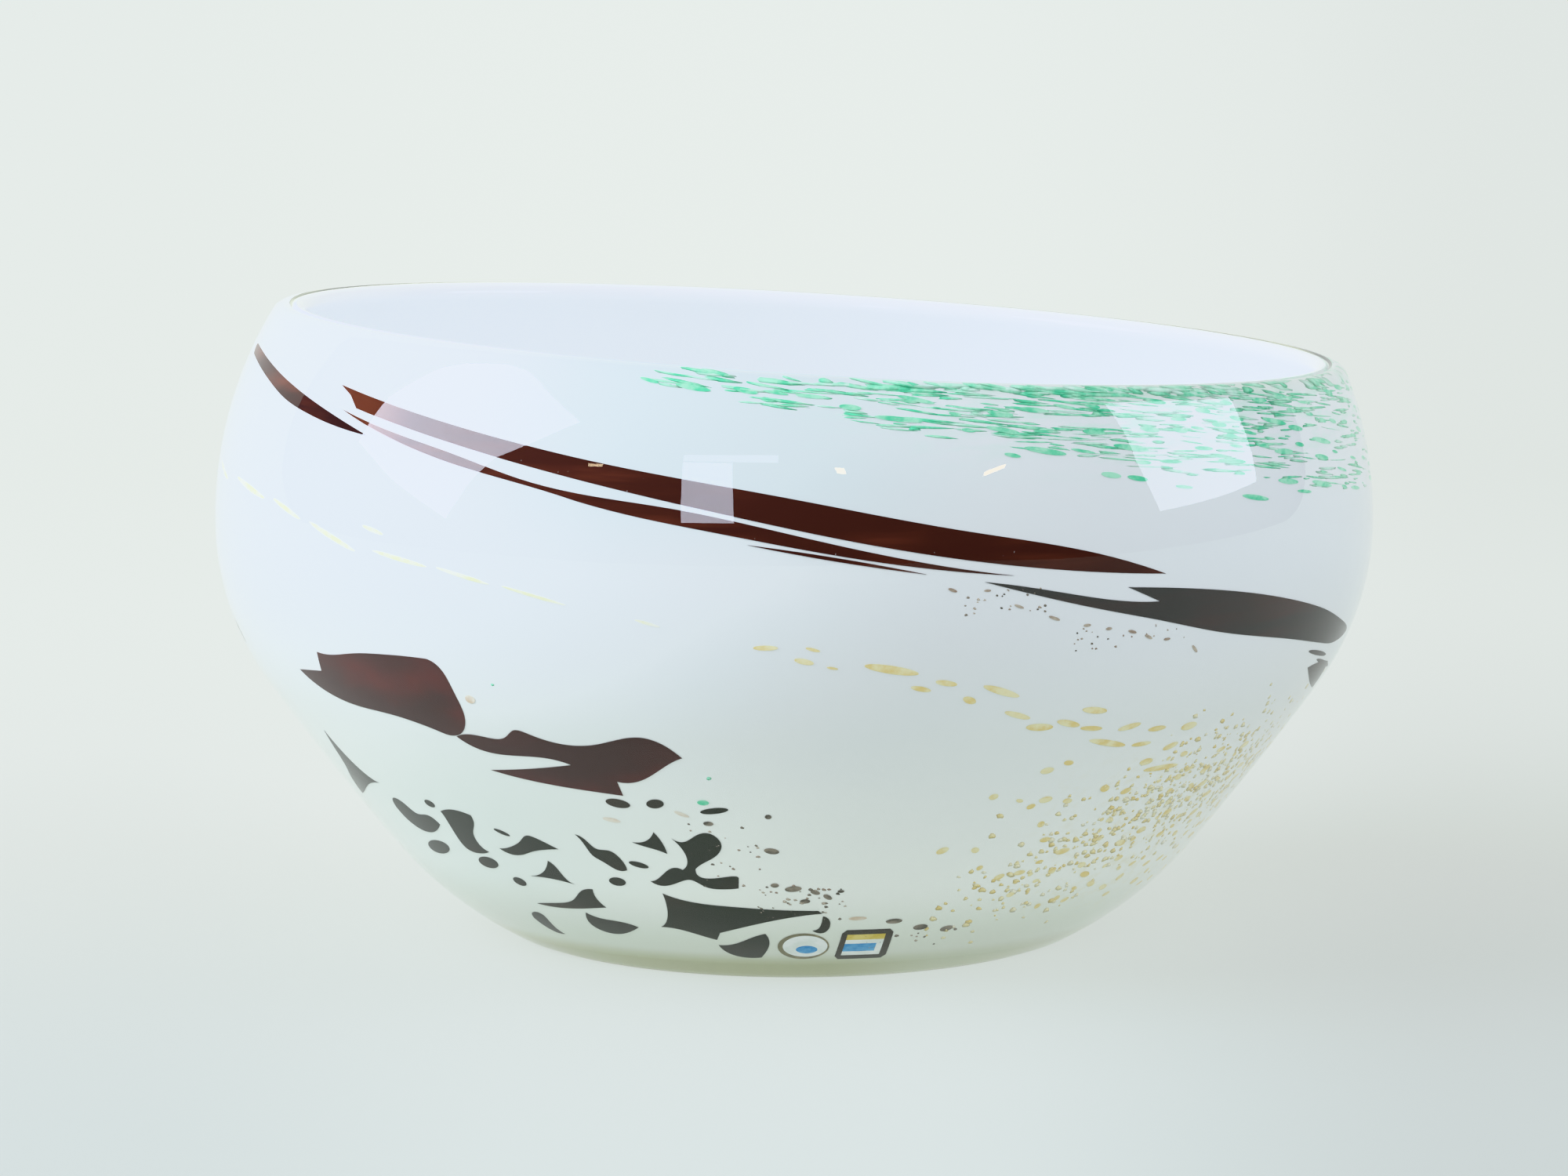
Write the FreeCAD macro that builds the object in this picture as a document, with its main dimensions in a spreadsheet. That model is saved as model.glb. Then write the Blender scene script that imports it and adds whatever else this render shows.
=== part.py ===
"""Blown art glass bowl with a slanted rim, about 150 mm across.

An opal white cup carries flat inlays of coloured glass in its outer surface: burgundy
ribbons and shards, round chips, green and yellow frit and two murrine slices. A coat of
clear glass covers the cup and the inlays and makes the ground flat base.

Millimetres, +Z up. The origin is on the table under the bowl's axis. The front of the
bowl faces -Y and its rim is higher at -X than at +X.
"""
import FreeCAD, Part
import math
import os
import random

import Sketcher

DOCUMENT = FreeCAD.newDocument("art_glass_bowl")
SHEET = DOCUMENT.addObject("Spreadsheet::Sheet", "Sizes")
SIZES = {}
NODES = []


# ---------------------------------------------------------------- driving dimensions

def add_size(alias, value, meaning):
    """One row of the sheet: meaning, value and the alias that expressions use."""
    row = len(SIZES) + 1
    SHEET.set(f"A{row}", meaning)
    SHEET.set(f"B{row}", str(value))
    SHEET.setAlias(f"B{row}", alias)
    SIZES[alias] = value


add_size("belly_radius", 75.0, "largest radius of the clear coat")
add_size("belly_height", 53.6, "height of the largest radius")
add_size("upper_radius", 52.0, "curvature radius of the wall above the belly")
add_size("lower_radius", 34.5, "curvature radius of the wall under the belly")
add_size("lower_angle", 35.2, "turn of the wall under the belly, degrees")
add_size("flank_radius", 385.0, "curvature radius of the nearly straight flank")
add_size("foot_angle", 39.2, "slope of the flank's normal where the foot curve starts")
add_size("foot_radius", 47.5, "curvature radius of the curve into the base")
add_size("blank_height", 86.0, "height of the walls before the rim is cut")
add_size("rim_height", 77.9, "height of the rim plane on the axis")
add_size("rim_tilt", 3.4, "tilt of the rim plane, degrees, high at -X")
add_size("lip_outside", 1.9, "rounding of the rim's outer edge")
add_size("lip_inside", 1.5, "rounding of the rim's inner edge")
add_size("coat_wall", 2.0, "thickness of the clear coat on the wall")
add_size("coat_base", 3.5, "thickness of the clear coat under the cup")
add_size("base_bevel", 0.5, "bevel round the ground base")
add_size("cup_wall", 2.4, "thickness of the opal wall")
add_size("cup_floor", 3.6, "thickness of the opal floor")
add_size("cup_corner", 1.5, "rounding under the opal cup")
add_size("well_corner", 22.0, "rounding between the inner wall and floor")
add_size("inlay_depth", 0.6, "depth of every inlay in the opal")
add_size("skin_outside", 1.6, "inset of the outside of the band that cuts the inlays")
add_size("reach", 90.0, "length of the tools, past the largest radius")


def bind(thing, path, expression):
    """Binds a property of thing to an expression in the sheet's aliases."""
    for alias in sorted(SIZES, key=len, reverse=True):
        expression = expression.replace(f"[{alias}]", f"{SHEET.Name}.{alias}")
    thing.setExpression(path, expression)


# ---------------------------------------------------------------- sketches and bodies

def new_body(name):
    return DOCUMENT.addObject("PartDesign::Body", name)


def upright_sketch(body, name):
    """A sketch on the body's XZ plane: its x is the radius and its y the height."""
    sketch = body.newObject("Sketcher::SketchObject", name)
    plane = next(f for f in body.Origin.OriginFeatures if f.Role == "XZ_Plane")
    sketch.AttachmentSupport = [(plane, "")]
    sketch.MapMode = "FlatFace"
    return sketch


def bound_constraint(sketch, constraint, expression):
    index = sketch.addConstraint(constraint)
    bind(sketch, f"Constraints[{index}]", expression)


def wall_numbers(inset):
    """Centres, radii and joints of the wall's four arcs, inset from the outer surface."""
    belly = SIZES["belly_height"]
    lower = math.radians(SIZES["lower_angle"])
    foot = math.radians(SIZES["foot_angle"])
    flank_offset = SIZES["flank_radius"] - SIZES["lower_radius"]
    foot_offset = SIZES["flank_radius"] - SIZES["foot_radius"]
    lower_centre = (SIZES["belly_radius"] - SIZES["lower_radius"], belly)
    upper_centre = (SIZES["belly_radius"] - SIZES["upper_radius"], belly)
    flank_centre = (
        lower_centre[0] - flank_offset * math.cos(lower),
        lower_centre[1] + flank_offset * math.sin(lower),
    )
    foot_centre = (
        flank_centre[0] + foot_offset * math.cos(foot),
        flank_centre[1] - foot_offset * math.sin(foot),
    )
    return {
        "upper": (upper_centre, SIZES["upper_radius"] - inset),
        "lower": (lower_centre, SIZES["lower_radius"] - inset),
        "flank": (flank_centre, SIZES["flank_radius"] - inset),
        "foot": (foot_centre, SIZES["foot_radius"] - inset),
        "lower_angle": lower,
        "foot_angle": foot,
    }


def angle_at_height(arc, height):
    """Angle on an arc of wall_numbers at which it has the height."""
    (_, centre_height), radius = arc
    return math.asin((height - centre_height) / radius)


def wall_radius(height, inset):
    """Radius of the wall at a height, for a surface inset from the outer one."""
    wall = wall_numbers(inset)
    lower_joint = wall["lower"][0][1] - wall["lower"][1] * math.sin(wall["lower_angle"])
    foot_joint = wall["flank"][0][1] - wall["flank"][1] * math.sin(wall["foot_angle"])
    if height > SIZES["belly_height"]:
        arc = wall["upper"]
    elif height > lower_joint:
        arc = wall["lower"]
    elif height > foot_joint:
        arc = wall["flank"]
    else:
        arc = wall["foot"]
    return arc[0][0] + arc[1] * math.cos(angle_at_height(arc, height))


def sketch_arc(arc, start_angle, end_angle):
    (centre_x, centre_y), radius = arc
    centre = FreeCAD.Vector(centre_x, centre_y, 0)
    circle = Part.Circle(centre, FreeCAD.Vector(0, 0, 1), radius)
    return Part.ArcOfCircle(circle, start_angle, end_angle)


def wall_sketch(body, name, inset, floor):
    """Closed half section: floor, four tangent wall arcs, top and axis.

    inset and floor are expressions in the sheet's aliases, which are written in square
    brackets: inset from the outer surface and height of the floor.
    """
    inset_value = evaluate(inset)
    floor_value = evaluate(floor)
    wall = wall_numbers(inset_value)
    foot_start = angle_at_height(wall["foot"], floor_value)
    upper_end = angle_at_height(wall["upper"], SIZES["blank_height"])
    floor_radius = wall["foot"][0][0] + wall["foot"][1] * math.cos(foot_start)
    top_radius = wall["upper"][0][0] + wall["upper"][1] * math.cos(upper_end)
    axis_floor = FreeCAD.Vector(0, floor_value, 0)
    axis_top = FreeCAD.Vector(0, SIZES["blank_height"], 0)
    floor_edge = FreeCAD.Vector(floor_radius, floor_value, 0)
    top_edge = FreeCAD.Vector(top_radius, SIZES["blank_height"], 0)

    sketch = upright_sketch(body, name)
    floor_line = sketch.addGeometry(Part.LineSegment(axis_floor, floor_edge))
    foot = sketch.addGeometry(sketch_arc(wall["foot"], foot_start, -wall["foot_angle"]))
    flank = sketch.addGeometry(
        sketch_arc(wall["flank"], -wall["foot_angle"], -wall["lower_angle"])
    )
    lower = sketch.addGeometry(sketch_arc(wall["lower"], -wall["lower_angle"], 0))
    upper = sketch.addGeometry(sketch_arc(wall["upper"], 0, upper_end))
    top_line = sketch.addGeometry(Part.LineSegment(top_edge, axis_top))
    axis_line = sketch.addGeometry(Part.LineSegment(axis_top, axis_floor))

    start, end, centre = 1, 2, 3
    origin = (-1, 1)
    for first, second in ((foot, flank), (flank, lower), (lower, upper)):
        sketch.addConstraint(Sketcher.Constraint("Tangent", first, end, second, start))
    for first, second in ((floor_line, foot), (upper, top_line), (top_line, axis_line)):
        sketch.addConstraint(Sketcher.Constraint("Coincident", first, end, second, start))
    sketch.addConstraint(Sketcher.Constraint("Coincident", axis_line, end, floor_line, start))
    sketch.addConstraint(Sketcher.Constraint("Horizontal", floor_line))
    sketch.addConstraint(Sketcher.Constraint("Horizontal", top_line))
    sketch.addConstraint(Sketcher.Constraint("Vertical", axis_line))
    sketch.addConstraint(Sketcher.Constraint("PointOnObject", axis_line, end, -2))

    for arc, alias in ((upper, "upper"), (lower, "lower"), (flank, "flank"), (foot, "foot")):
        radius = wall[alias][1]
        bound_constraint(
            sketch, Sketcher.Constraint("Radius", arc, radius), f"[{alias}_radius] - ({inset})"
        )

    def place(kind, geometry, point, value, expression):
        constraint = Sketcher.Constraint(kind, *origin, geometry, point, value)
        bound_constraint(sketch, constraint, expression)

    (lower_x, belly_y), lower_radius = wall["lower"]
    lower_joint = belly_y - lower_radius * math.sin(wall["lower_angle"])
    foot_joint = wall["flank"][0][1] - wall["flank"][1] * math.sin(wall["foot_angle"])
    flank_centre_height = "[belly_height] + ([flank_radius] - [lower_radius]) * sin([lower_angle])"
    place("DistanceX", lower, centre, lower_x, "[belly_radius] - [lower_radius]")
    place("DistanceY", lower, centre, belly_y, "[belly_height]")
    place("DistanceY", lower, end, belly_y, "[belly_height]")
    place(
        "DistanceY", lower, start, lower_joint,
        f"[belly_height] - ([lower_radius] - ({inset})) * sin([lower_angle])",
    )
    place(
        "DistanceY", flank, start, foot_joint,
        f"{flank_centre_height} - ([flank_radius] - ({inset})) * sin([foot_angle])",
    )
    place("DistanceY", foot, start, floor_value, floor)
    place("DistanceY", upper, end, SIZES["blank_height"], "[blank_height]")
    return sketch


def evaluate(expression):
    """Value of a sum of aliases in square brackets and plain numbers."""
    total = 0.0
    for term in expression.split("+"):
        term = term.strip()
        if term.startswith("["):
            total += SIZES[term.strip("[]")]
        else:
            total += float(term)
    return total


def turned(body, sketch, name, kind="PartDesign::Revolution"):
    """A full turn of the sketch about the bowl's axis, as two halves with their own faces.

    The halves keep every face open, which the many small beds cut more safely than a
    face that closes on itself.
    """
    for half, backward in (("front", False), ("back", True)):
        feature = body.newObject(kind, f"{name}_{half}")
        feature.Profile = sketch
        feature.ReferenceAxis = (sketch, ["V_Axis"])
        feature.Angle = 180.0
        feature.Reversed = backward
        feature.Refine = False
        DOCUMENT.recompute()
    return feature


def rim_cut(body, name):
    """Pocket that takes away everything above the tilted rim plane."""
    reach = SIZES["reach"]
    rise = reach * math.tan(math.radians(SIZES["rim_tilt"]))
    high = SIZES["rim_height"] + rise
    low = SIZES["rim_height"] - rise
    top = SIZES["blank_height"] + rise
    corners = [
        FreeCAD.Vector(-reach, high, 0),
        FreeCAD.Vector(reach, low, 0),
        FreeCAD.Vector(reach, top, 0),
        FreeCAD.Vector(-reach, top, 0),
    ]
    sketch = upright_sketch(body, name + "_sketch")
    for index, corner in enumerate(corners):
        sketch.addGeometry(Part.LineSegment(corner, corners[(index + 1) % 4]))
    for index in range(4):
        sketch.addConstraint(
            Sketcher.Constraint("Coincident", index, 2, (index + 1) % 4, 1)
        )
    rise_expression = "[reach] * tan([rim_tilt])"
    heights = (
        (0, high, f"[rim_height] + {rise_expression}"),
        (1, low, f"[rim_height] - {rise_expression}"),
        (2, top, f"[blank_height] + {rise_expression}"),
        (3, top, f"[blank_height] + {rise_expression}"),
    )
    for line, height, expression in heights:
        constraint = Sketcher.Constraint("DistanceY", -1, 1, line, 1, height)
        bound_constraint(sketch, constraint, expression)
    for line, side in ((0, -1), (1, 1), (2, 1), (3, -1)):
        constraint = Sketcher.Constraint("DistanceX", -1, 1, line, 1, side * reach)
        bound_constraint(sketch, constraint, f"{side} * [reach]")
    pocket = body.newObject("PartDesign::Pocket", name)
    pocket.Profile = sketch
    pocket.Refine = False
    pocket.SideType = "Symmetric"
    pocket.Length = 2 * reach
    bind(pocket, "Length", "2 * [reach]")
    return pocket


def edges_where(shape, test):
    """Names of the shape's edges whose every sample point passes the test."""
    names = []
    for index, edge in enumerate(shape.Edges, start=1):
        points = edge.discretize(Number=9)
        if all(test(point) for point in points):
            names.append(f"Edge{index}")
    return names


def on_rim_plane(point):
    slope = math.tan(math.radians(SIZES["rim_tilt"]))
    return abs(point.z + slope * point.x - SIZES["rim_height"]) < 0.01


def rounded(body, base, edges, alias, kind="PartDesign::Fillet"):
    """A fillet or chamfer of the named edges, its size bound to an alias."""
    feature = body.newObject(kind, f"{body.Name}_{alias}")
    feature.Base = (base, edges)
    feature.Refine = False
    size = "Size" if kind == "PartDesign::Chamfer" else "Radius"
    setattr(feature, size, SIZES[alias])
    bind(feature, size, f"[{alias}]")
    DOCUMENT.recompute()
    return feature


def cut_blank(name, inset, floor):
    """A solid of revolution under the rim plane: its body and its last feature."""
    body = new_body(name)
    turned(body, wall_sketch(body, name + "_profile", inset, floor), name + "_turned")
    last = rim_cut(body, name + "_rim")
    DOCUMENT.recompute()
    return body, last


def base_edge_test(height):
    return lambda point: abs(point.z - height) < 0.01 and math.hypot(point.x, point.y) > 20


# ---------------------------------------------------------------- coat and cup

def make_coat_form():
    """Full outer form of the bowl, with its rounded lip and bevelled base."""
    body, last = cut_blank("CoatForm", "0", "0")
    lip = edges_where(last.Shape, on_rim_plane)
    last = rounded(body, last, lip, "lip_outside")
    base = edges_where(last.Shape, base_edge_test(0))
    rounded(body, last, base, "base_bevel", "PartDesign::Chamfer")
    return body


CUP_INSET = "[coat_wall]"
CUP_FLOOR = "[coat_base]"
WELL_INSET = "[coat_wall] + [cup_wall]"
WELL_FLOOR = "[coat_base] + [cup_floor]"


def cup_blank(name):
    """The opal cup's outer form, still full."""
    body, last = cut_blank(name, CUP_INSET, CUP_FLOOR)
    corner = edges_where(last.Shape, base_edge_test(SIZES["coat_base"]))
    last = rounded(body, last, corner, "cup_corner")
    return body, last


def make_cup_form():
    """The opal cup with its well and the rounded inner edge of its rim."""
    body, _ = cup_blank("CupForm")
    sketch = wall_sketch(body, "CupForm_well_profile", WELL_INSET, WELL_FLOOR)
    groove = turned(body, sketch, "CupForm_well", "PartDesign::Groove")
    well_floor = SIZES["coat_base"] + SIZES["cup_floor"]
    corner = edges_where(groove.Shape, base_edge_test(well_floor))
    last = rounded(body, groove, corner, "well_corner")

    def inside_rim(point):
        middle = wall_radius(point.z, SIZES["coat_wall"] + SIZES["cup_wall"] / 2)
        return on_rim_plane(point) and math.hypot(point.x, point.y) < middle

    lip = edges_where(last.Shape, inside_rim)
    rounded(body, last, lip, "lip_inside")
    return body


def make_inlay_band():
    """A shell round the opal's outer surface, as deep as the inlays and a little proud."""
    outside, _ = cut_blank("BandOutside", "[skin_outside]", "[coat_base]")
    inside, _ = cut_blank("BandInside", "[coat_wall] + [inlay_depth]", "[coat_base]")
    band = DOCUMENT.addObject("Part::Cut", "InlayBand")
    band.Base = outside
    band.Tool = inside
    return band


# ---------------------------------------------------------------- inlays drawn by hand
#
# Each inlay is drawn in a frame of its own on the front of the bowl, x to the right and
# y up from the inlay's centre. The centre has an azimuth, 0 at the front and growing
# towards +X, and a height, both in the sheet. A loop is a chain of runs, a run of two
# points is a straight edge and a longer one is a smooth curve through its points.

def oval(x, y, half_length, half_width, tilt=0.0):
    """A loop that is one ellipse, tilted by degrees."""
    return ("oval", x, y, half_length, half_width, tilt)


def polygon(*corners):
    """A loop of straight edges."""
    return [[start, end] for start, end in zip(corners, corners[1:] + corners[:1])]


# The outlines of the two murrine slices, whose parts lie side by side in one bed each.
ROUND_SLICE = oval(0.3, 0, 3.1, 2)
BAR_SLICE = polygon(
    (-3.1, 1.8), (-2.6, 2.3), (2.7, 2.3), (3.2, 1.8),
    (3.2, -1.7), (2.7, -2.2), (-2.6, -2.2), (-3.1, -1.7),
)
MURRINE_BEDS = {
    "murrine_round": (1, 6.5, [ROUND_SLICE]),
    "murrine_bar": (11, 6.6, [BAR_SLICE]),
}

INLAYS = {
    "ribbon_long": (-8, 64, [[
        [(-47.5, 10), (-30.5, 6.6), (-12, 3.3), (8.5, 0), (30, -4.3), (43.5, -7.4), (51, -10.4)],
        [(51, -10.4), (38, -8.8), (20.5, -5.8), (3, -2.2), (-8.5, 0.1), (-26.5, 3.7), (-45, 7.6)],
        [(-45, 7.6), (-46, 9)],
        [(-46, 9), (-47.5, 10)],
    ]]),
    "ribbon_under": (-15, 63, [[
        [(-40.4, 8.3), (-32.2, 6.4), (-23, 4.5), (-13.5, 2.1), (-5, 0.7), (5, -0.5), (20, -3.6), (42, -8.4)],
        [(42, -8.4), (28.5, -6.5), (10, -3.1), (-2.4, -0.9), (-7, 0.1)],
        [(-7, 0.1), (-14, 1.7), (-23, 3.4), (-32.1, 5.6), (-40.4, 8.3)],
    ]]),
    "thread_fine": (4, 57, [[
        [(-10.5, 1.6), (-2.5, 0.5), (10, -1.9)],
        [(10, -1.9), (-2.5, 0.1), (-10.5, 1.6)],
    ]]),
    "ribbon_left": (-64, 72.5, [[
        [(22.2, -3.8), (13, -1.5), (7, -0.2), (-1.8, 1.5), (-10, 2.8), (-17, 3.5)],
        [(-17, 3.5), (-19.8, 3.2), (-18.5, 2.4)],
        [(-18.5, 2.4), (-10, 1.4), (-4.6, 0.4), (3.4, -1.3), (9, -2.2), (15.4, -3.1), (22.2, -3.8)],
    ]]),
    "ribbon_right": (46, 47.5, [[
        [(-35, 6.5), (-28.1, 4.4), (-22, 2.8), (-12.3, 0.6), (-3, -1.5), (11.8, -3.9), (24.1, -6),
         (31, -6.5), (34.6, -5.9), (30, -4), (21.6, -1.5), (13.2, 0.5), (1, 2.8), (-7, 3.9), (-17.6, 4.9)],
        [(-17.6, 4.9), (-12.9, 2.9)],
        [(-12.9, 2.9), (-22.1, 4), (-28.8, 5.4), (-35, 6.5)],
    ]]),
    "streaks_right": (63, 41, [
        oval(3.5, -0.7, 4.2, 0.28, -10),
        oval(9, -2.6, 5, 0.25, -12),
    ]),
    "chip_right": (64, 36.5, [[
        [(0.7, 2.2), (4, 2.4), (10.5, 1.7)],
        [(10.5, 1.7), (11.3, 0.2), (11, -1.6)],
        [(11, -1.6), (6, -0.3), (0.7, 2.2)],
    ]]),
    "shard_left": (-47, 38.5, [[
        [(-14.8, 0.8), (-9, 1.3)],
        [(-9, 1.3), (-8.5, 3.7)],
        [(-8.5, 3.7), (-7, 3.6), (-1, 4.3), (5, 4.8), (12, 4.9)],
        [(12, 4.9), (13.8, 3.8), (14.6, 0.9), (14.6, -1.6), (13.3, -3.6), (9.7, -4.5)],
        [(9.7, -4.5), (6.5, -3.6), (2.2, -2.9), (-5, -2.4), (-12.4, -0.5), (-14.8, 0.8)],
    ]]),
    "shard_swallow": (-24, 31.5, [[
        [(-15, 2.3), (-11, 2.7), (-7.7, 2.9), (-6.2, 3.9), (-4, 3.5), (4.2, 2.8), (9.9, 4), (14.2, 1.5)],
        [(14.2, 1.5), (11.5, 0.1), (7.2, -2.1), (5.2, -2.1)],
        [(5.2, -2.1), (5.3, -4)],
        [(5.3, -4), (2, -3.7), (-5, -3), (-11.7, -1.9)],
        [(-11.7, -1.9), (-6, -1.2), (0, -0.2)],
        [(0, -0.2), (-3.2, 0.5), (-11, 0.6), (-15, 2.3)],
    ]]),
    "shard_edge": (-66, 27.5, [[
        [(2.2, 3.3), (3.2, 0.4), (5, -1.7), (9, -2.9)],
        [(9, -2.9), (4.6, -3.4), (1.5, -4.4), (-3.5, -6)],
        [(-3.5, -6), (-2.7, -4), (-0.4, -1.7), (0.8, 0.6), (2.2, 3.3)],
    ]]),
    "chip_diagonal": (-54, 20.5, [[
        [(-4.7, 0.8), (-3.6, 2.2), (-1.8, 2), (-0.2, 0.7), (2.8, 0.7), (3.9, -0.3)],
        [(3.9, -0.3), (1.4, -1.6), (-1, -2), (-3.6, -1.2), (-4.7, 0.8)],
    ]]),
    "chip_tapered": (-45, 20, [[
        [(-2.8, 2.3), (0.4, 2.9), (2.8, 2.5)],
        [(2.8, 2.5), (2.2, 1.1), (0.8, -0.5), (0.7, -1.9), (1.6, -2.7)],
        [(1.6, -2.7), (-0.7, -3.2), (-2.6, -2.7), (-2.9, -1.2), (-2.8, 2.3)],
    ]]),
    "chip_bird": (-36, 19, [[
        [(-4.5, -0.9), (-1.8, -0.2), (-0.1, 0.7), (1.4, 1.6), (2.8, 1.3), (5.1, 0.1)],
        [(5.1, 0.1), (2.4, -0.3), (0.8, -0.7), (-0.9, -1.3), (-3.2, -1.5), (-4.5, -0.9)],
    ]]),
    "chip_triangle": (-35, 15.8, [[
        [(-3.2, -1.3), (-0.6, -0.6), (1.5, 1.4)],
        [(1.5, 1.4), (2.1, 0.8), (2.5, -0.5), (3.9, -1.8)],
        [(3.9, -1.8), (1.8, -1.4), (-3.2, -1.3)],
    ]]),
    "chip_slanted": (-25, 19, [[
        [(-2.2, 2.5), (-1.2, 2), (-0.1, 0.7), (1.7, 0.5), (2.7, -0.6), (2.9, -2.1)],
        [(2.9, -2.1), (1.4, -2.1), (0.2, -1.2), (-0.9, -0.4), (-1.4, 0.9), (-2.2, 2.5)],
    ]]),
    "chip_wedge": (-18, 21, [[
        [(-1.8, 0), (0.2, 0.4), (1.3, 1.6)],
        [(1.3, 1.6), (1.8, 0.7), (2.2, -1.4)],
        [(2.2, -1.4), (1, -0.9), (-0.4, -0.5), (-1.8, 0)],
    ]]),
    "chip_boot": (-13, 18.5, [[
        [(-1.7, 3.3), (0, 3), (1.6, 4), (3.1, 4.2), (4.2, 2.9), (3.5, 1.3), (1.9, 0.2), (0.4, -0.9)],
        [(0.4, -0.9), (0.6, -1.9), (1.9, -2.2), (5.4, -2)],
        [(5.4, -2), (5.1, -3.5)],
        [(5.1, -3.5), (3, -3.7), (1.1, -3.4), (-0.5, -2.5), (-2, -2.9), (-5.6, -3)],
        [(-5.6, -3), (-3.6, -1.7), (-2.4, -0.9), (-1.2, -1.1)],
        [(-1.2, -1.1), (-0.4, 0), (-0.6, 1.7), (-1.7, 3.3)],
    ]]),
    "base_flag": (-34, 12, [[
        [(-5.5, -1.6), (-2, -1.1), (1.2, -0.2), (2.8, 1), (4.9, 1.6)],
        [(4.9, 1.6), (4.7, 0.3), (5.3, -0.9)],
        [(5.3, -0.9), (2.6, -1.3), (-1.1, -1.7), (-5.5, -1.6)],
    ]]),
    "base_lens": (-28, 8.8, [[
        [(-3.3, 1.2), (-1.8, 0.6), (1.1, 0.3), (3.1, -0.3)],
        [(3.1, -0.3), (1.2, -1.2), (-1.8, -1.6), (-3.5, -0.8), (-3.3, 1.2)],
    ]]),
    "base_drop": (-43, 7.4, [[
        [(-1.2, 0.4), (-0.4, 1.4), (1.2, 1.3), (1.2, -0.1), (1.7, -1.4)],
        [(1.7, -1.4), (0.2, -1.3), (-1.2, 0.4)],
    ]]),
    "base_shard": (-9, 10.5, [[
        [(-8, 3.3), (-5.7, 2.5), (0, 1.8), (6.5, 1.4), (10.5, 1.3)],
        [(10.5, 1.3), (10.9, 0.9)],
        [(10.9, 0.9), (7.3, 0.4), (2.4, -0.8), (-1.8, -2.1)],
        [(-1.8, -2.1), (-2.4, -3.2)],
        [(-2.4, -3.2), (-4.6, -2.5), (-6.6, -1.9), (-10.4, -1.9)],
        [(-10.4, -1.9), (-8.4, -1.1), (-7.8, 0.6), (-8, 3.3)],
    ]]),
    "base_curl": (4, 10.5, [[
        [(0, 0.5), (0.9, -0.3), (0.8, -1.4), (-1.1, -1.6)],
        [(-1.1, -1.6), (-0.3, -1.1), (-0.1, -0.4), (0, 0.5)],
    ]]),
    "base_flake": (-7.5, 6.5, [[
        [(-3.5, 0), (-1.1, 0.4), (1, 1.4), (2.5, 1.9)],
        [(2.5, 1.9), (2.8, 0.8), (2.3, -0.6), (1.4, -1.8)],
        [(1.4, -1.8), (-1, -1.8), (-2.8, -1), (-3.5, 0)],
    ]]),
    "murrine_round_ring": (1, 6.5, [ROUND_SLICE, oval(0.5, 0, 2.7, 1.65)]),
    "murrine_round_field": (1, 6.5, [oval(0.5, 0, 2.7, 1.65), oval(0.7, -0.5, 1.3, 0.6)]),
    "murrine_round_core": (1, 6.5, [oval(0.7, -0.5, 1.3, 0.6)]),
    "murrine_bar_frame": (11, 6.6, [
        BAR_SLICE,
        polygon((-2.4, 1.6), (2.3, 1.6), (2.3, -1.6), (-2.4, -1.6)),
    ]),
    "murrine_bar_yellow": (11, 6.6, [
        polygon((-2.4, 1.6), (2.3, 1.6), (2.3, 0.8), (-2.4, 0.8)),
    ]),
    "murrine_bar_blue": (11, 6.6, [
        polygon((-2.4, 0.2), (1.5, 0.2), (1.5, -1), (-2.4, -1)),
    ]),
    "murrine_bar_field": (11, 6.6, [
        polygon(
            (-2.4, 0.8), (2.3, 0.8), (2.3, -1.6), (-2.4, -1.6),
            (-2.4, -1), (1.5, -1), (1.5, 0.2), (-2.4, 0.2),
        ),
    ]),
    "ribbon_back": (165, 58, [[
        [(-46, 3.8), (-20, 3.2), (8, 0.6), (30, -3.5), (47, -8)],
        [(47, -8), (26, -5.6), (0, -2.2), (-24, 0), (-43, 2)],
        [(-43, 2), (-46, 3.8)],
    ]]),
    "ribbon_back_thin": (-128, 61, [[
        [(-26, -2.4), (-6, 0.4), (12, 2.4), (26, 4)],
        [(26, 4), (12, 1.2), (-6, -1.1), (-26, -2.4)],
    ]]),
    "shard_back_fin": (112, 35, [[
        [(-11, -1.5), (-3, 2.6), (6, 3.8), (12, 2)],
        [(12, 2), (9, -0.4), (10.5, -3.2)],
        [(10.5, -3.2), (0, -2.6), (-11, -1.5)],
    ]]),
    "shard_back_leaf": (-150, 33, [[
        [(-12, 0.6), (-4, 3.4), (6, 3), (13, -0.4)],
        [(13, -0.4), (5, -3), (-5, -2.6), (-12, 0.6)],
    ]]),
}

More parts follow.
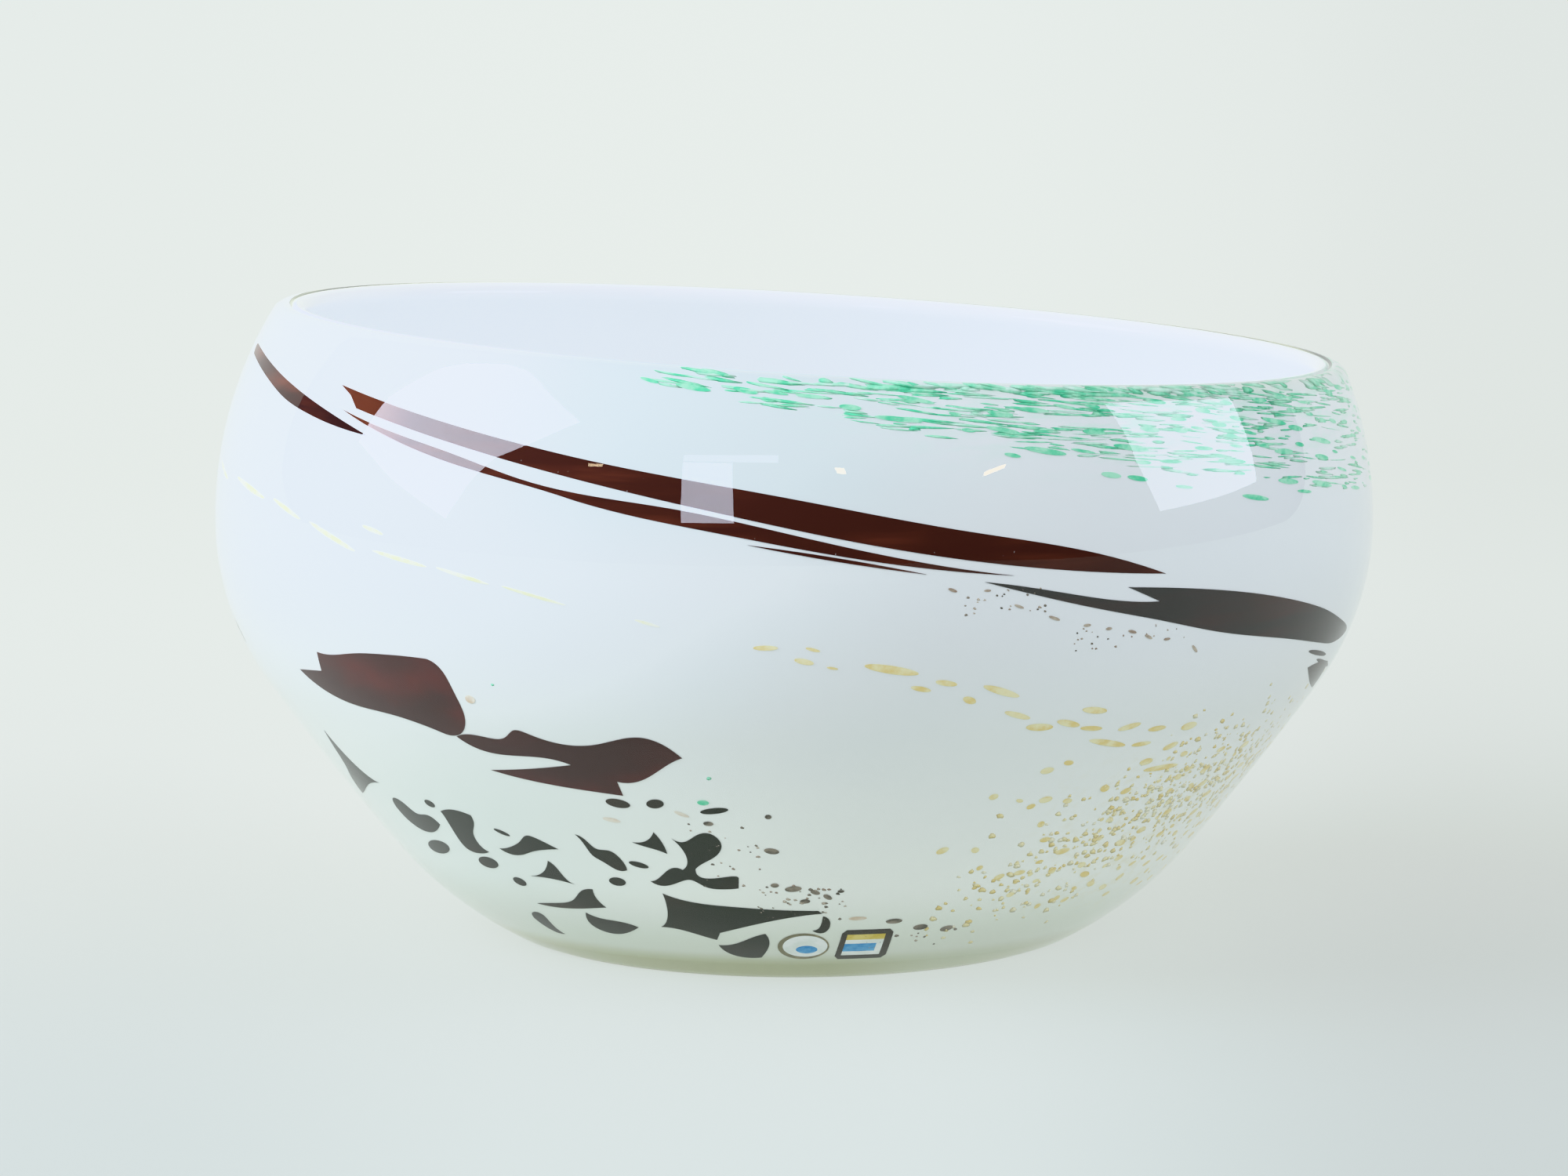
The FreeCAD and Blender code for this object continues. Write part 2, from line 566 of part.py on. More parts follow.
# Small rounded chips and specks: azimuth, height, half length, half width and tilt.
CHIP_OVALS = {
    "chip_pebbles": [
        (-78, 41.2, 2.0, 0.6, -40),
        (-55, 16.4, 2.9, 0.9, 12),
        (-49, 23.2, 0.9, 0.5, 0),
        (-45, 15.6, 1.8, 0.8, 8),
        (-41, 13.4, 1.0, 0.6, 0),
        (-38.5, 20.6, 1.1, 0.3, -17),
        (-24, 15.1, 1.1, 0.6, 4),
        (-20, 17.8, 1.2, 0.4, -12),
        (-20, 26.4, 1.5, 0.6, -6),
        (-15.6, 26.6, 1.1, 0.6, 10),
        (-9, 25.9, 1.7, 0.4, 8),
    ],
    "chip_specks": [
        (-3, 25.2, 0.4, 0.3, 0),
        (-9.9, 24.1, 0.6, 0.3, 0),
        (-2.8, 20.4, 0.9, 0.4, -8),
        (-0.2, 15, 1.0, 0.4, 5),
        (2.7, 14.5, 0.6, 0.3, -20),
        (4.4, 13.8, 0.6, 0.3, -30),
        (1.4, 13.2, 0.6, 0.3, 0),
        (6.1, 14.6, 0.4, 0.2, 0),
        (-2.6, 15.5, 0.5, 0.3, 0),
        (14.5, 10, 1.0, 0.35, 0),
        (19, 8.9, 0.9, 0.4, 0),
        (23.5, 8.4, 0.8, 0.4, 5),
    ],
    "chip_tan_slips": [
        (-12.8, 25.3, 0.9, 0.25, -22),
        (-21.5, 24, 1.1, 0.3, -8),
        (-33.2, 38.9, 0.7, 0.5, 0),
        (9, 10.6, 1.1, 0.25, 0),
    ],
    "brown_specks": [
        (14.3, 53.2, 0.56, 0.18, -20),
        (17.6, 53, 0.42, 0.14, 0),
        (20.7, 51, 0.63, 0.16, -20),
        (24.3, 49.4, 0.77, 0.18, -20),
        (27.8, 48.3, 0.49, 0.18, 0),
        (30.2, 47.7, 0.42, 0.18, 0),
        (32.9, 47.1, 0.63, 0.18, -15),
        (34.9, 46.3, 0.63, 0.18, -25),
        (37.2, 45.8, 0.49, 0.16, 0),
        (41.1, 44.2, 0.7, 0.18, -40),
    ],
    "yellow_streak": [
        (-77, 61, 3.6, 0.28, -12),
        (-66, 60.3, 5.2, 0.33, -8),
        (-57, 58.9, 3.6, 0.28, -14),
        (-49, 56.6, 4.8, 0.3, -16),
        (-43, 58, 1.8, 0.25, -12),
        (-39.5, 55, 4.4, 0.25, -8),
        (-32, 53.7, 3.8, 0.22, -11),
        (-24.5, 52, 4.2, 0.17, -12),
        (-13.5, 49.4, 1.5, 0.17, -14),
    ],
    "yellow_dashes": [
        (-2.7, 46.8, 1.42, 0.3, 0),
        (0.8, 45.2, 1.14, 0.34, -12),
        (1.6, 46.6, 0.85, 0.19, -14),
        (3.4, 44.4, 0.66, 0.15, -10),
        (8.9, 44.1, 3.23, 0.49, -10),
        (11.8, 41.7, 1.23, 0.3, -12),
        (14.2, 42.3, 1.33, 0.34, -10),
        (16.7, 40.1, 0.85, 0.41, -20),
        (19.8, 41, 2.47, 0.41, -18),
        (22, 37.9, 1.8, 0.34, -16),
        (24.8, 36.2, 1.8, 0.45, -4),
        (28, 36.4, 1.71, 0.38, -14),
        (31, 35.5, 1.61, 0.3, -6),
        (30.6, 37.8, 1.8, 0.41, -8),
        (35.9, 35.2, 1.61, 0.38, 8),
        (34, 33.3, 3.04, 0.38, -12),
        (40, 34.5, 1.42, 0.34, 0),
        (38.9, 32.6, 1.52, 0.3, 0),
        (43.8, 31.7, 1.14, 0.45, 12),
        (44.5, 28.7, 3.04, 0.38, 0),
        (44.9, 34.2, 1.33, 0.52, 0),
    ],
    "chips_back": [
        (128, 21, 2.4, 1.1, 20),
        (137, 15, 1.5, 0.8, 0),
        (150, 23, 3.2, 1.0, -25),
        (161, 16, 2.2, 1.2, 10),
        (174, 21.5, 1.6, 0.7, 0),
        (-174, 14.5, 2.8, 0.9, -15),
        (-163, 20, 1.4, 0.8, 30),
        (-136, 17, 2.6, 1.0, 15),
        (-122, 23, 1.8, 0.9, -20),
        (-108, 18, 2.3, 0.8, 0),
        (-94, 22, 1.6, 0.7, 25),
    ],
}


for inlay_name, (inlay_azimuth, inlay_height, _) in dict(INLAYS, **MURRINE_BEDS).items():
    add_size(f"{inlay_name}_azimuth", inlay_azimuth, f"azimuth of {inlay_name}, degrees")
    add_size(f"{inlay_name}_height", inlay_height, f"height of the centre of {inlay_name}")


def draw_run(sketch, points):
    """One straight edge or one smooth curve, fixed in the sketch."""
    vectors = [FreeCAD.Vector(x, y, 0) for x, y in points]
    if len(vectors) == 2:
        curve = Part.LineSegment(*vectors)
    else:
        curve = Part.BSplineCurve()
        curve.interpolate(vectors)
    index = sketch.addGeometry(curve)
    sketch.addConstraint(Sketcher.Constraint("Block", index))


def draw_oval(sketch, x, y, half_length, half_width, tilt):
    centre = FreeCAD.Vector(x, y, 0)
    along = FreeCAD.Vector(math.cos(math.radians(tilt)), math.sin(math.radians(tilt)), 0)
    across = FreeCAD.Vector(-along.y, along.x, 0)
    ellipse = Part.Ellipse(centre + along * half_length, centre + across * half_width, centre)
    index = sketch.addGeometry(ellipse)
    sketch.addConstraint(Sketcher.Constraint("Block", index))


def make_cutter(name, tool, band):
    """The part of the tool that lies in the band: it cuts a bed in the opal."""
    cutter = DOCUMENT.addObject("Part::Common", f"{name}_cutter")
    cutter.Base = band
    cutter.Tool = tool
    return cutter


def set_inlay(name, cutter, cup_full):
    """The inlay that fills the cutter's bed, flush with the opal."""
    inlay = DOCUMENT.addObject("Part::Common", name)
    inlay.Label = name
    inlay.Base = cup_full
    inlay.Tool = cutter
    NODES.append(inlay)


def drawn_tool(name, loops):
    """Pads an outline out from the axis, at its own azimuth and height."""
    body = new_body(f"{name}_tool")
    sketch = upright_sketch(body, f"{name}_outline")
    for loop in loops:
        if loop[0] == "oval":
            draw_oval(sketch, *loop[1:])
        else:
            for run in loop:
                draw_run(sketch, run)
    pad = body.newObject("PartDesign::Pad", f"{name}_pad")
    pad.Profile = sketch
    pad.Length = SIZES["reach"]
    bind(pad, "Length", "[reach]")
    azimuth = SIZES[f"{name}_azimuth"]
    height = SIZES[f"{name}_height"]
    turn = FreeCAD.Rotation(FreeCAD.Vector(0, 0, 1), azimuth)
    body.Placement = FreeCAD.Placement(FreeCAD.Vector(0, 0, height), turn)
    bind(body, "Placement.Base.z", f"[{name}_height]")
    bind(body, "Placement.Rotation.Angle", f"[{name}_azimuth]")
    return body


# ---------------------------------------------------------------- grains and specks

GRAIN_INSIDE = 4.0
GRAIN_OUTSIDE = 3.0


def grain_tool(azimuth, height, half_length, half_width, tilt):
    """Short elliptical bar through the opal's skin, square to the axis."""
    surface = wall_radius(height, SIZES["coat_wall"])
    tilt = math.radians(tilt)
    along = FreeCAD.Vector(math.cos(tilt), 0, math.sin(tilt))
    across = FreeCAD.Vector(-math.sin(tilt), 0, math.cos(tilt))
    centre = FreeCAD.Vector(0, GRAIN_INSIDE - surface, height)
    ellipse = Part.Ellipse(centre + along * half_length, centre + across * half_width, centre)
    face = Part.Face(Part.Wire(ellipse.toShape()))
    bar = face.extrude(FreeCAD.Vector(0, -GRAIN_INSIDE - GRAIN_OUTSIDE, 0))
    bar.rotate(FreeCAD.Vector(0, 0, 0), FreeCAD.Vector(0, 0, 1), azimuth)
    return bar


def grain_tools(name, grains):
    """The bars of all the grains that make one sub-part of separate solids."""
    tools = DOCUMENT.addObject("Part::Feature", f"{name}_tools")
    tools.Shape = Part.makeCompound([grain_tool(*grain) for grain in grains])
    return tools


def grains_clash(first, second, gap):
    """Whether two grains come closer than the gap, by their boxes on the surface."""
    def box(grain):
        azimuth, height, half_length, half_width, tilt = grain
        tilt = math.radians(tilt)
        across = abs(half_length * math.cos(tilt)) + abs(half_width * math.sin(tilt))
        upward = abs(half_length * math.sin(tilt)) + abs(half_width * math.cos(tilt))
        along = math.radians(azimuth) * wall_radius(height, SIZES["coat_wall"])
        return along, height, across, upward

    along_1, height_1, across_1, upward_1 = box(first)
    along_2, height_2, across_2, upward_2 = box(second)
    apart_along = abs(along_1 - along_2) - across_1 - across_2
    apart_up = abs(height_1 - height_2) - upward_1 - upward_2
    return max(apart_along, apart_up) < gap


def scatter(count, draw_grain, taken, gap=0.4, tries=60):
    """Grains from draw_grain that stay clear of each other and of the taken ones."""
    grains = []
    for _ in range(count * tries):
        if len(grains) == count:
            break
        grain = draw_grain()
        if not any(grains_clash(grain, other, gap) for other in taken + grains):
            grains.append(grain)
    return grains


def rim_height_at(azimuth, radius):
    slope = math.tan(math.radians(SIZES["rim_tilt"]))
    return SIZES["rim_height"] - slope * radius * math.sin(math.radians(azimuth))


def rise(value, low, high):
    """0 below low, 1 above high and a smooth step between them."""
    part = min(1.0, max(0.0, (value - low) / (high - low)))
    return part * part * (3 - 2 * part)


def green_frit():
    """Drawn-out grains under the rim, deepest and densest at the right."""
    source = random.Random(7)
    upper_wall_radius = 69.0
    clear_of_rim = 2.2

    def draw_grain():
        azimuth = source.triangular(-16, 118, 66)
        depth = 12.5 * rise(azimuth, -20, 62) * (1 - 0.5 * rise(azimuth, 85, 118))
        below = clear_of_rim + depth * source.random() ** 1.2
        height = rim_height_at(azimuth, upper_wall_radius) - below
        half_width = source.uniform(0.17, 0.34)
        half_length = half_width * source.uniform(4.0, 10.0)
        return (azimuth, height, half_length, half_width, source.uniform(-13, -5))

    lone = [(-10.1, 27, 0.7, 0.35, 0)]
    return lone + scatter(104, draw_grain, lone)


def yellow_frit():
    """A cloud of round grains on the lower right flank, thinning towards its left."""
    source = random.Random(11)
    dashes = CHIP_OVALS["yellow_dashes"] + CHIP_OVALS["chip_specks"]

    def draw_grain():
        azimuth = source.triangular(17, 96, 52)
        top = 37.5 - 0.13 * azimuth - 8 * (1 - rise(azimuth, 20, 34))
        bottom = 18 - 8 * rise(azimuth, 18, 34)
        height = source.uniform(bottom, top)
        half_width = source.uniform(0.22, 0.45)
        half_length = half_width * source.uniform(1.2, 2.4)
        return (azimuth, height, half_length, half_width, source.uniform(-25, 20))

    return scatter(120, draw_grain, dashes, gap=0.3)


# ---------------------------------------------------------------- the whole bowl

def make_bowl():
    coat_form = make_coat_form()
    cup_full, _ = cup_blank("CupFull")
    cup_form = make_cup_form()

    coat = DOCUMENT.addObject("Part::Cut", "clear_coat")
    coat.Label = "clear_coat"
    coat.Base = coat_form
    coat.Tool = cup_full
    NODES.append(coat)

    band = make_inlay_band()
    tools = {name: drawn_tool(name, loops) for name, (_, _, loops) in INLAYS.items()}
    grain_groups = dict(CHIP_OVALS, green_frit=green_frit(), yellow_frit=yellow_frit())
    for name, grains in grain_groups.items():
        tools[name] = grain_tools(name, grains)
    cutters = {name: make_cutter(name, tool, band) for name, tool in tools.items()}
    for name, cutter in cutters.items():
        set_inlay(name, cutter, cup_full)

    bed_cutters = [cutter for name, cutter in cutters.items() if "murrine" not in name]
    for name, (_, _, loops) in MURRINE_BEDS.items():
        bed_cutters.append(make_cutter(name, drawn_tool(name, loops), band))
    beds = DOCUMENT.addObject("Part::Compound", "InlayBeds")
    beds.Links = bed_cutters
    cup = DOCUMENT.addObject("Part::Cut", "opal_cup")
    cup.Label = "opal_cup"
    cup.Base = cup_form
    cup.Tool = beds
    NODES.append(cup)
    DOCUMENT.recompute()
    return cup


def check_bowl(cup):
    """Stops with a message if any object failed or an inlay has no bed."""
    for thing in DOCUMENT.Objects:
        if "Invalid" in thing.State or "Error" in thing.State:
            raise RuntimeError(f"{thing.Name} failed: {thing.State}")
    for node in NODES:
        if node.Shape.isNull() or not node.Shape.isValid() or not node.Shape.Solids:
            raise RuntimeError(f"{node.Label} has no valid solid")
    for node in NODES[1:-1]:
        solid = node.Shape.Solids[0]
        middle = solid.CenterOfMass
        if solid.isInside(middle, 1e-4, False) and cup.Shape.isInside(middle, 1e-4, False):
            raise RuntimeError(f"{node.Label} has no bed in the cup")


def write_parts():
    os.makedirs("parts", exist_ok=True)
    for node in NODES:
        node.Shape.exportStep(f"parts/{node.Label}.step")
        box = node.Shape.BoundBox
        print(
            f"{node.Label}: {len(node.Shape.Solids)} solids, {node.Shape.Volume:.1f} mm3, "
            f"z {box.ZMin:.1f} to {box.ZMax:.1f}"
        )


check_bowl(make_bowl())
write_parts()
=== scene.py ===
"""Looks of the cased art glass bowl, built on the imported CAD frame.

The clear coat and the opal cup are rebuilt as smooth turned meshes with the CAD's own
arcs, the CAD inlays stay and get their glass, and finer frit is sown between them.
Metres, +Z up, bowl axis on Z, front to -Y, rim high at -X.
"""

import math
import random

import bpy
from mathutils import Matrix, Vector


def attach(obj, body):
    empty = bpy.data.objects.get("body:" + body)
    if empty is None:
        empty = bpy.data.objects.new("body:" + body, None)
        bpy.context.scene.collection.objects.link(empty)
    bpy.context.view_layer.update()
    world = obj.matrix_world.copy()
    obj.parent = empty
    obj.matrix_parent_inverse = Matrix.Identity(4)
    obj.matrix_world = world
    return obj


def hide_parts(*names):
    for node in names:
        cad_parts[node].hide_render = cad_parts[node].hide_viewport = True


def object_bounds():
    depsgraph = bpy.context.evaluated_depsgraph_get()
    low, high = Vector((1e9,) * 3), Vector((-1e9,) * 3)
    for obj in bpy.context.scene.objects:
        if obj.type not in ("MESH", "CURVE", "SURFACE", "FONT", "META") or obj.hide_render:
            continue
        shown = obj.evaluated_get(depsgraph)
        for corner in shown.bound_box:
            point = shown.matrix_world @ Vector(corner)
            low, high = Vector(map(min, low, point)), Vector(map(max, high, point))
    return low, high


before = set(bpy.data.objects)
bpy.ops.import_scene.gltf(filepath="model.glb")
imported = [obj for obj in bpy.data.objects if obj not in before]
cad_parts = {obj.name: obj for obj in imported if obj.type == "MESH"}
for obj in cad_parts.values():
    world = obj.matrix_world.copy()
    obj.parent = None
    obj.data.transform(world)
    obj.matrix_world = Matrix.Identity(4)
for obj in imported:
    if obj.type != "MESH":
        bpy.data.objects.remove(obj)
cad_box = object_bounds()

MM = 0.001

# ---------------------------------------------------------------- form of the bowl

BELLY_RADIUS = cad_box[1].x / MM
BELLY_HEIGHT = 53.6
UPPER_RADIUS = 52.0
LOWER_RADIUS = 34.5
FLANK_RADIUS = 385.0
FOOT_RADIUS = 47.5
LOWER_ANGLE = math.radians(35.2)
FOOT_ANGLE = math.radians(39.2)
RIM_HEIGHT = 77.9
RIM_SLOPE = math.tan(math.radians(3.4))
LIP_OUTSIDE = 1.9
LIP_INSIDE = 1.5
COAT_WALL = 2.0
COAT_BASE = 3.5
BASE_BEVEL = 0.5
CUP_WALL = 2.4
CUP_FLOOR = 3.6
CUP_CORNER = 1.5
WELL_CORNER = 22.0
INLAY_RELIEF = 0.06     # how far the inlays stand out of the opal, under the coat
OVERLAP = 0.3           # how far the coat reaches into the opal, so no faces coincide
TURN_STEPS = 360

UPPER_CENTRE = (BELLY_RADIUS - UPPER_RADIUS, BELLY_HEIGHT)
LOWER_CENTRE = (BELLY_RADIUS - LOWER_RADIUS, BELLY_HEIGHT)
FLANK_CENTRE = (
    LOWER_CENTRE[0] - (FLANK_RADIUS - LOWER_RADIUS) * math.cos(LOWER_ANGLE),
    LOWER_CENTRE[1] + (FLANK_RADIUS - LOWER_RADIUS) * math.sin(LOWER_ANGLE),
)
FOOT_CENTRE = (
    FLANK_CENTRE[0] + (FLANK_RADIUS - FOOT_RADIUS) * math.cos(FOOT_ANGLE),
    FLANK_CENTRE[1] - (FLANK_RADIUS - FOOT_RADIUS) * math.sin(FOOT_ANGLE),
)


def arc(centre, radius, start, end, steps):
    """Points (radius, height) along an arc, both ends included."""
    points = []
    for step in range(steps + 1):
        angle = start + (end - start) * step / steps
        points.append((centre[0] + radius * math.cos(angle), centre[1] + radius * math.sin(angle)))
    return points


def lip(inset, fillet, rim_fall, inner, drop=0.0):
    """Rounding between a wall and the rim plane in one half section.

    rim_fall is the fall of the rim per millimetre of radius. Returns the angle at which
    the upper arc ends and the points of the rounding, from the wall to the rim.
    """
    side = 1.0 if inner else -1.0
    reach = UPPER_RADIUS - inset + side * fillet
    offset = fillet * math.hypot(1.0, rim_fall) + drop
    centre_x, centre_z = UPPER_CENTRE
    radius = centre_x + 0.8 * reach
    for _ in range(60):
        height = RIM_HEIGHT - rim_fall * radius - offset
        radius = centre_x + math.sqrt(reach ** 2 - (height - centre_z) ** 2)
    height = RIM_HEIGHT - rim_fall * radius - offset
    wall_angle = math.atan2(height - centre_z, radius - centre_x)
    rim_angle = math.atan2(1.0, rim_fall)
    start = wall_angle + math.pi if inner else wall_angle
    return wall_angle, arc((radius, height), fillet, start, rim_angle, 8)


def wall_radius(height, inset):
    """Radius of the wall at a height, for a surface inset from the outer one."""
    lower_joint = LOWER_CENTRE[1] - (LOWER_RADIUS - inset) * math.sin(LOWER_ANGLE)
    foot_joint = FLANK_CENTRE[1] - (FLANK_RADIUS - inset) * math.sin(FOOT_ANGLE)
    if height > BELLY_HEIGHT:
        centre, radius = UPPER_CENTRE, UPPER_RADIUS
    elif height > lower_joint:
        centre, radius = LOWER_CENTRE, LOWER_RADIUS
    elif height > foot_joint:
        centre, radius = FLANK_CENTRE, FLANK_RADIUS
    else:
        centre, radius = FOOT_CENTRE, FOOT_RADIUS
    return centre[0] + math.sqrt((radius - inset) ** 2 - (height - centre[1]) ** 2)


def below_belly(inset, foot_start):
    """The wall from the foot up to the belly."""
    points = arc(FOOT_CENTRE, FOOT_RADIUS - inset, foot_start, -FOOT_ANGLE, 26)
    points += arc(FLANK_CENTRE, FLANK_RADIUS - inset, -FOOT_ANGLE, -LOWER_ANGLE, 14)[1:]
    points += arc(LOWER_CENTRE, LOWER_RADIUS - inset, -LOWER_ANGLE, 0.0, 18)[1:]
    return points


def above_belly(inset, end):
    return arc(UPPER_CENTRE, UPPER_RADIUS - inset, 0.0, end, 26)[1:]


def foot_angle_at(height, inset):
    return math.asin((height - FOOT_CENTRE[1]) / (FOOT_RADIUS - inset))


def coat_section(rim_fall):
    """Outline of the clear coat, from the axis under the base to the axis inside it."""
    foot_start = foot_angle_at(BASE_BEVEL, 0.0)
    base_edge = wall_radius(0.0, 0.0) - BASE_BEVEL
    points = [(base_edge * step / 10, 0.0) for step in range(1, 11)]
    points += below_belly(0.0, foot_start)
    end, rounding = lip(0.0, LIP_OUTSIDE, rim_fall, inner=False)
    points += above_belly(0.0, end) + rounding[1:]
    inner = COAT_WALL + OVERLAP
    top_radius = points[-1][0] - OVERLAP
    points.append((top_radius, RIM_HEIGHT - rim_fall * top_radius - 0.06))
    end, rounding = lip(inner, 0.05, rim_fall, inner=False, drop=0.3)
    points += list(reversed(above_belly(inner, end)))
    inside_floor = COAT_BASE + OVERLAP
    points += list(reversed(below_belly(inner, foot_angle_at(inside_floor, inner))))
    floor_radius = points[-1][0]
    points += [(floor_radius * step / 6, inside_floor) for step in range(5, 0, -1)]
    return points


def cup_section(rim_fall):
    """Outline of the opal cup, from the axis under its floor to the axis inside it."""
    outside = COAT_WALL + INLAY_RELIEF
    corner_height = COAT_BASE + CUP_CORNER
    corner_x = FOOT_CENTRE[0] + math.sqrt(
        (FOOT_RADIUS - outside - CUP_CORNER) ** 2 - (corner_height - FOOT_CENTRE[1]) ** 2
    )
    corner_angle = math.atan2(corner_height - FOOT_CENTRE[1], corner_x - FOOT_CENTRE[0])
    points = [(corner_x * step / 10, COAT_BASE) for step in range(1, 10)]
    points += arc((corner_x, corner_height), CUP_CORNER, -math.pi / 2, corner_angle, 6)
    points += below_belly(outside, corner_angle)[1:]
    end, rounding = lip(outside, 0.1, rim_fall, inner=False)
    points += above_belly(outside, end) + rounding[1:]

    inset = COAT_WALL + CUP_WALL
    end, rounding = lip(inset, LIP_INSIDE, rim_fall, inner=True)
    points += list(reversed(rounding))
    points += list(reversed(above_belly(inset, end)))[1:]
    points += arc(LOWER_CENTRE, LOWER_RADIUS - inset, 0.0, -LOWER_ANGLE, 18)
    floor = COAT_BASE + CUP_FLOOR
    well_height = floor + WELL_CORNER
    well_x = FLANK_CENTRE[0] + math.sqrt(
        (FLANK_RADIUS - inset - WELL_CORNER) ** 2 - (well_height - FLANK_CENTRE[1]) ** 2
    )
    well_angle = math.atan2(well_height - FLANK_CENTRE[1], well_x - FLANK_CENTRE[0])
    points += arc(FLANK_CENTRE, FLANK_RADIUS - inset, -LOWER_ANGLE, well_angle, 14)[1:]
    points += arc((well_x, well_height), WELL_CORNER, well_angle, -math.pi / 2, 20)[1:]
    points += [(well_x * step / 8, floor) for step in range(7, 0, -1)]
    return points


def turn(name, section, material_of):
    """A closed smooth mesh: the section, which follows the slanted rim, turned once.

    material_of(index) picks the material slot of a face ring, counted from the axis.
    """
    rings = []
    for step in range(TURN_STEPS):
        azimuth = 2 * math.pi * step / TURN_STEPS
        rings.append((azimuth, section(RIM_SLOPE * math.cos(azimuth))))
    count = len(rings[0][1])
    vertices = []
    for azimuth, points in rings:
        for radius, height in points:
            vertices.append(
                (radius * math.cos(azimuth) * MM, radius * math.sin(azimuth) * MM, height * MM)
            )
    start_pole = len(vertices)
    vertices.append((0.0, 0.0, rings[0][1][0][1] * MM))
    end_pole = len(vertices)
    vertices.append((0.0, 0.0, rings[0][1][-1][1] * MM))
    faces, slots = [], []
    for step in range(TURN_STEPS):
        here = step * count
        there = ((step + 1) % TURN_STEPS) * count
        faces.append((start_pole, there, here))
        slots.append(material_of(0))
        for index in range(count - 1):
            faces.append((here + index, there + index, there + index + 1, here + index + 1))
            slots.append(material_of(index))
        faces.append((end_pole, here + count - 1, there + count - 1))
        slots.append(material_of(count - 1))
    mesh = bpy.data.meshes.new(name)
    mesh.from_pydata(vertices, [], faces)
    mesh.polygons.foreach_set("use_smooth", [True] * len(faces))
    mesh.polygons.foreach_set("material_index", slots)
    mesh.update()
    piece = bpy.data.objects.new(name, mesh)
    bpy.context.scene.collection.objects.link(piece)
    return piece


def on_surface(azimuth, height, inset):
    """Point on the wall, with the azimuth in degrees from the front, positive to the right."""
    radius = wall_radius(height, inset)
    angle = math.radians(azimuth)
    return Vector((radius * math.sin(angle) * MM, -radius * math.cos(angle) * MM, height * MM))


# ---------------------------------------------------------------- materials

class Nodes:
    """A few words for building a material's node tree."""

    def __init__(self, name):
        self.material = bpy.data.materials.new(name)
        self.material.use_nodes = True
        self.tree = self.material.node_tree
        self.shader = self.tree.nodes["Principled BSDF"]
        self.output = self.tree.nodes["Material Output"]
        self.place = self.tree.nodes.new("ShaderNodeTexCoord").outputs["Object"]

    def add(self, kind, **inputs):
        node = self.tree.nodes.new(kind)
        for name, value in inputs.items():
            self.put(node.inputs[name.replace("_", " ")], value)
        return node

    def put(self, socket, value):
        if isinstance(value, bpy.types.NodeSocket):
            self.tree.links.new(value, socket)
        else:
            socket.default_value = value

    def math(self, operation, first, second=0.0, third=0.0, clamp=False):
        node = self.tree.nodes.new("ShaderNodeMath")
        node.operation = operation
        node.use_clamp = clamp
        for socket, value in zip(node.inputs, (first, second, third)):
            self.put(socket, value)
        return node.outputs[0]

    def both(self, first, second):
        return self.math("MULTIPLY", first, second)

    def stretched(self, scale):
        """Object coordinates in millimetres times scale, for stretched patterns."""
        node = self.add("ShaderNodeMapping", Vector=self.place)
        node.inputs["Scale"].default_value = tuple(1000.0 * value for value in scale)
        return node.outputs["Vector"]

    def noise(self, vector, scale=1.0, detail=3.0, roughness=0.5):
        node = self.add(
            "ShaderNodeTexNoise", Vector=vector, Scale=scale, Detail=detail, Roughness=roughness
        )
        return node.outputs["Fac"]

    def range(self, value, low, high, out_low=0.0, out_high=1.0):
        """Smooth step of value from low to high."""
        node = self.tree.nodes.new("ShaderNodeMapRange")
        node.interpolation_type = "SMOOTHSTEP"
        self.put(node.inputs["Value"], value)
        node.inputs["From Min"].default_value = low
        node.inputs["From Max"].default_value = high
        node.inputs["To Min"].default_value = out_low
        node.inputs["To Max"].default_value = out_high
        return node.outputs["Result"]

    def mix(self, factor, first, second):
        node = self.tree.nodes.new("ShaderNodeMix")
        node.data_type = "RGBA"
        self.put(node.inputs["Factor"], factor)
        for name, colour in (("A", first), ("B", second)):
            socket = [s for s in node.inputs if s.name == name and s.type == "RGBA"][0]
            self.put(socket, (*colour, 1.0) if isinstance(colour, tuple) else colour)
        return [s for s in node.outputs if s.type == "RGBA"][0]

    def split(self):
        node = self.add("ShaderNodeSeparateXYZ", Vector=self.place)
        return node.outputs["X"], node.outputs["Y"], node.outputs["Z"]

    def bump(self, height, distance, strength=1.0):
        node = self.add("ShaderNodeBump", Height=height)
        node.inputs["Distance"].default_value = distance
        node.inputs["Strength"].default_value = strength
        self.tree.links.new(node.outputs["Normal"], self.shader.inputs["Normal"])


